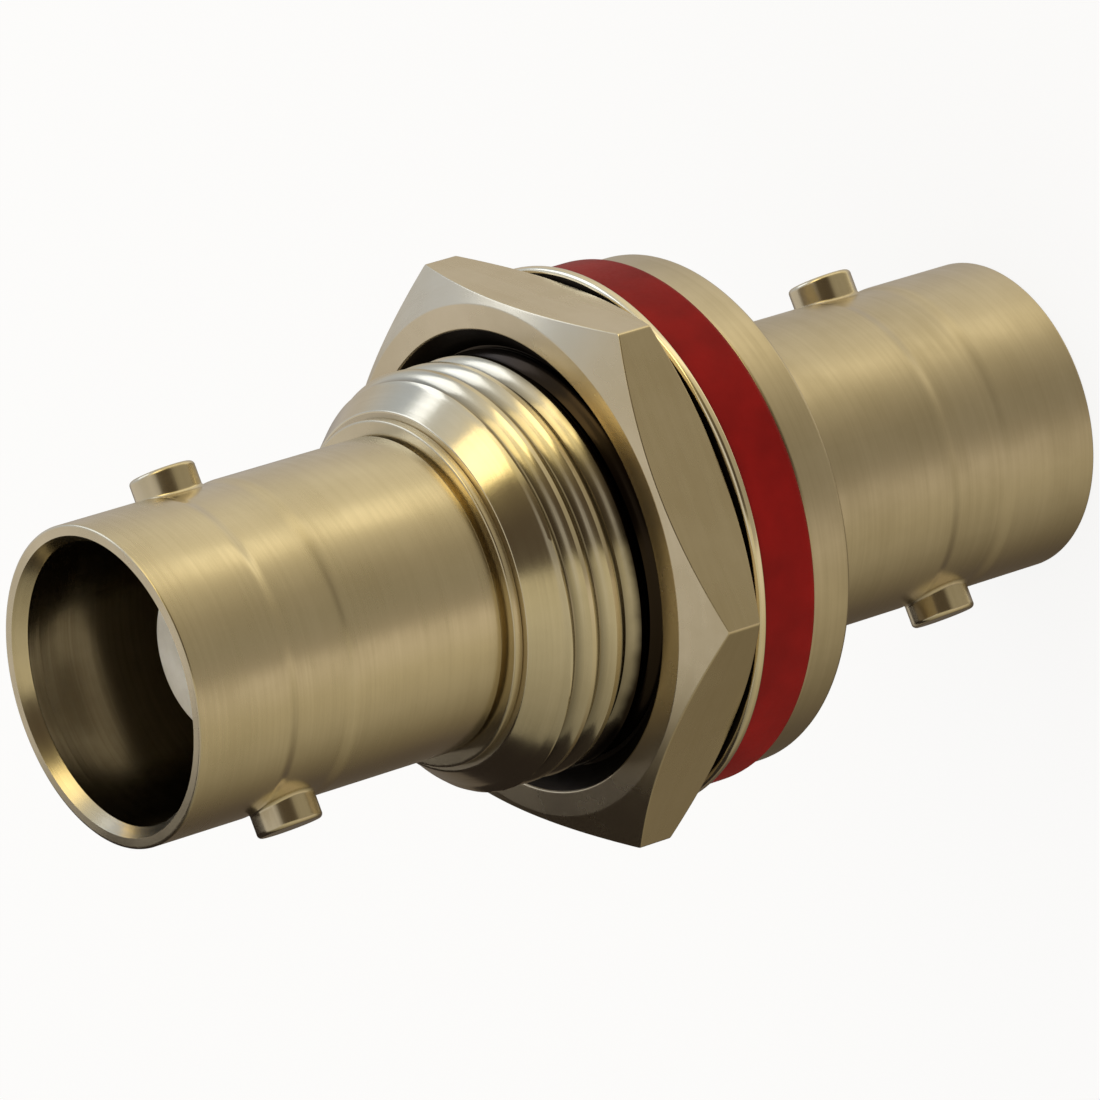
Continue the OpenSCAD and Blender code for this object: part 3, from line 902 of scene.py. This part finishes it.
rise = add(tree, "ShaderNodeMapRange", {
    "Value": apart.outputs[2], "From Min": -WALL_BLEND * TENT_R, "From Max": WALL_BLEND * TENT_R},
    interpolation_type="SMOOTHSTEP")
walls = add(tree, "ShaderNodeMix", {
    0: rise.outputs[0], 6: low_walls.outputs[0], 7: high_walls.outputs[0]}, data_type="RGBA")
roof = add(tree, "ShaderNodeMapRange", {
    "Value": apart.outputs[2], "From Min": ROOF_BLEND[0] * TENT_R,
    "From Max": ROOF_BLEND[1] * TENT_R}, interpolation_type="SMOOTHSTEP")
panels = add(tree, "ShaderNodeMix", {
    0: roof.outputs[0], 6: walls.outputs[2], 7: linear("CCC8C0")}, data_type="RGBA")
window = add(tree, "ShaderNodeValToRGB", {0: share.outputs[0]}, stops=bearings([
    (-180, "000000"), (53, "000000"), (57, "FFFFFF"), (70, "FFFFFF"), (75, "000000"),
    (180, "000000")]))
strength = add(tree, "ShaderNodeMath", {
    0: window.outputs[0], 1: WINDOW_GAIN, 2: 1.0}, operation="MULTIPLY_ADD")
glow = add(tree, "ShaderNodeEmission", {"Color": panels.outputs[2], "Strength": strength.outputs[0]})
add(tree, "ShaderNodeOutputMaterial", {"Surface": glow.outputs[0]})
tent_mesh.materials.append(tent_material)

# Distance behind the axis, the two sides and the two heights of the backdrop
BACKDROP_BACK = 36.0
BACKDROP_SIDES = (-3.5, -110.0)
BACKDROP_HEIGHTS = (14.0, 90.0)
# The backdrop is painted shade: a dark card that shows only in reflections, standing for the shade below
# the part.
backdrop_mesh = bpy.data.meshes.new("dark_backdrop")
away = Vector((-math.cos(CAMERA_BEARING), -math.sin(CAMERA_BEARING), 0.0))
across = Vector((away.y, -away.x, 0.0))
corners = [(away * BACKDROP_BACK + across * BACKDROP_SIDES[i] + Vector((0, 0, BACKDROP_HEIGHTS[j]))) * MM
           for i, j in ((0, 0), (1, 0), (1, 1), (0, 1))]
backdrop_mesh.from_pydata(corners, [], [(0, 1, 2, 3)])
backdrop = placed("dark_backdrop", backdrop_mesh)
backdrop_material, tree = new_material("dark_card_painted_shade")
glow = add(tree, "ShaderNodeEmission", {"Color": linear("2A2420"), "Strength": 1.0})
add(tree, "ShaderNodeOutputMaterial", {"Surface": glow.outputs[0]})
backdrop_mesh.materials.append(backdrop_material)

for panel in (tent, backdrop):
    panel.visible_camera = False
    panel.visible_diffuse = False
    panel.visible_shadow = False

world = bpy.data.worlds.new("studio")
world.use_nodes = True
tree = world.node_tree
tree.nodes.clear()
rays = add(tree, "ShaderNodeLightPath")
seen = add(tree, "ShaderNodeMath", {
    0: rays.outputs["Is Camera Ray"], 1: rays.outputs["Is Glossy Ray"]}, operation="MAXIMUM")
seen = add(tree, "ShaderNodeMath", {
    0: seen.outputs[0], 1: rays.outputs["Is Transmission Ray"]}, operation="MAXIMUM")
white = add(tree, "ShaderNodeBackground", {"Color": linear("FFFFFF"), "Strength": 1.0})
room = add(tree, "ShaderNodeBackground", {"Color": linear("FFFAF2"), "Strength": ROOM_LIGHT})
mixed = add(tree, "ShaderNodeMixShader", {
    0: seen.outputs[0], 1: room.outputs[0], 2: white.outputs[0]})
add(tree, "ShaderNodeOutputWorld", {"Surface": mixed.outputs[0]})
bpy.context.scene.world = world


def toward(bearing, elevation):
    """Direction from the part at a bearing and an elevation, both in radians."""
    level = math.cos(elevation)
    return Vector((math.cos(bearing) * level, math.sin(bearing) * level, math.sin(elevation)))


def soft_lamp(name, bearing, elevation, distance, size, radiance, colour):
    """A square soft lamp that faces the part. radiance is how bright its face looks."""
    lamp = bpy.data.lights.new(name, "AREA")
    lamp.shape = "SQUARE"
    lamp.size = size
    lamp.energy = radiance * math.pi * size ** 2
    lamp.color = linear(colour)[:3]
    obj = placed(name, lamp)
    back = toward(CAMERA_BEARING + math.radians(bearing), math.radians(elevation))
    obj.location = (cad_box[0] + cad_box[1]) / 2 + back * distance
    obj.rotation_euler = back.to_track_quat("Z", "Y").to_euler()


soft_lamp("key_lamp", bearing=66, elevation=30, distance=0.45, size=0.2, radiance=1.5, colour="FFEBB0")
soft_lamp("window_lamp", bearing=120, elevation=28, distance=0.45, size=0.24, radiance=1.5,
          colour="E0EAFF")

FLOOR_R = 0.5
FLOOR_SEGMENTS = 96
FLOOR_GAP = 0.02
FLOOR_WHITE = 0.85
floor_mesh = bpy.data.meshes.new("floor")
shape = bmesh.new()
bmesh.ops.create_circle(shape, cap_ends=True, segments=FLOOR_SEGMENTS, radius=FLOOR_R)
shape.to_mesh(floor_mesh)
shape.free()
floor = placed("floor", floor_mesh)
floor.location.z = cad_box[0].z - FLOOR_GAP * MM
floor_material, tree = new_material("white_paper")
rays = add(tree, "ShaderNodeLightPath")
paper = add(tree, "ShaderNodeBsdfDiffuse", {"Color": linear("F4F2EE")})
white = add(tree, "ShaderNodeEmission", {"Color": linear("FFFFFF"), "Strength": 1.0})
share = add(tree, "ShaderNodeMath", {
    0: rays.outputs["Is Camera Ray"], 1: FLOOR_WHITE}, operation="MULTIPLY")
mixed = add(tree, "ShaderNodeMixShader", {
    0: share.outputs[0], 1: paper.outputs[0], 2: white.outputs[0]})
add(tree, "ShaderNodeOutputMaterial", {"Surface": mixed.outputs[0]})
floor_mesh.materials.append(floor_material)
floor.visible_glossy = False

# ---- Camera ----------------------------------------------------------------------------------
# A long lens that looks down on the front mouth, aimed just in front of the axis's middle and
# rolled so that the axis lies across the view.

CAMERA_ELEVATION = math.radians(34.687)
CAMERA_ROLL = math.radians(-107.039)
CAMERA_DISTANCE = 266.356
AIM_ABOVE_MIDDLE = 0.4529
camera = bpy.data.cameras.new("camera")
camera.sensor_width = 36.0
camera.lens = 294.545
camera.clip_start = 0.01
camera.clip_end = 10.0
eye = placed("camera", camera)
back = toward(CAMERA_BEARING, CAMERA_ELEVATION)
aim = Vector((0.0, 0.0, (cad_box[0].z + cad_box[1].z) / 2 + AIM_ABOVE_MIDDLE * MM))
eye.location = aim + back * CAMERA_DISTANCE * MM
eye.rotation_euler = (back.to_track_quat("Z", "Y") @ Quaternion((0, 0, 1), CAMERA_ROLL)).to_euler()
bpy.context.scene.camera = eye
bpy.context.scene.view_settings.view_transform = "Standard"
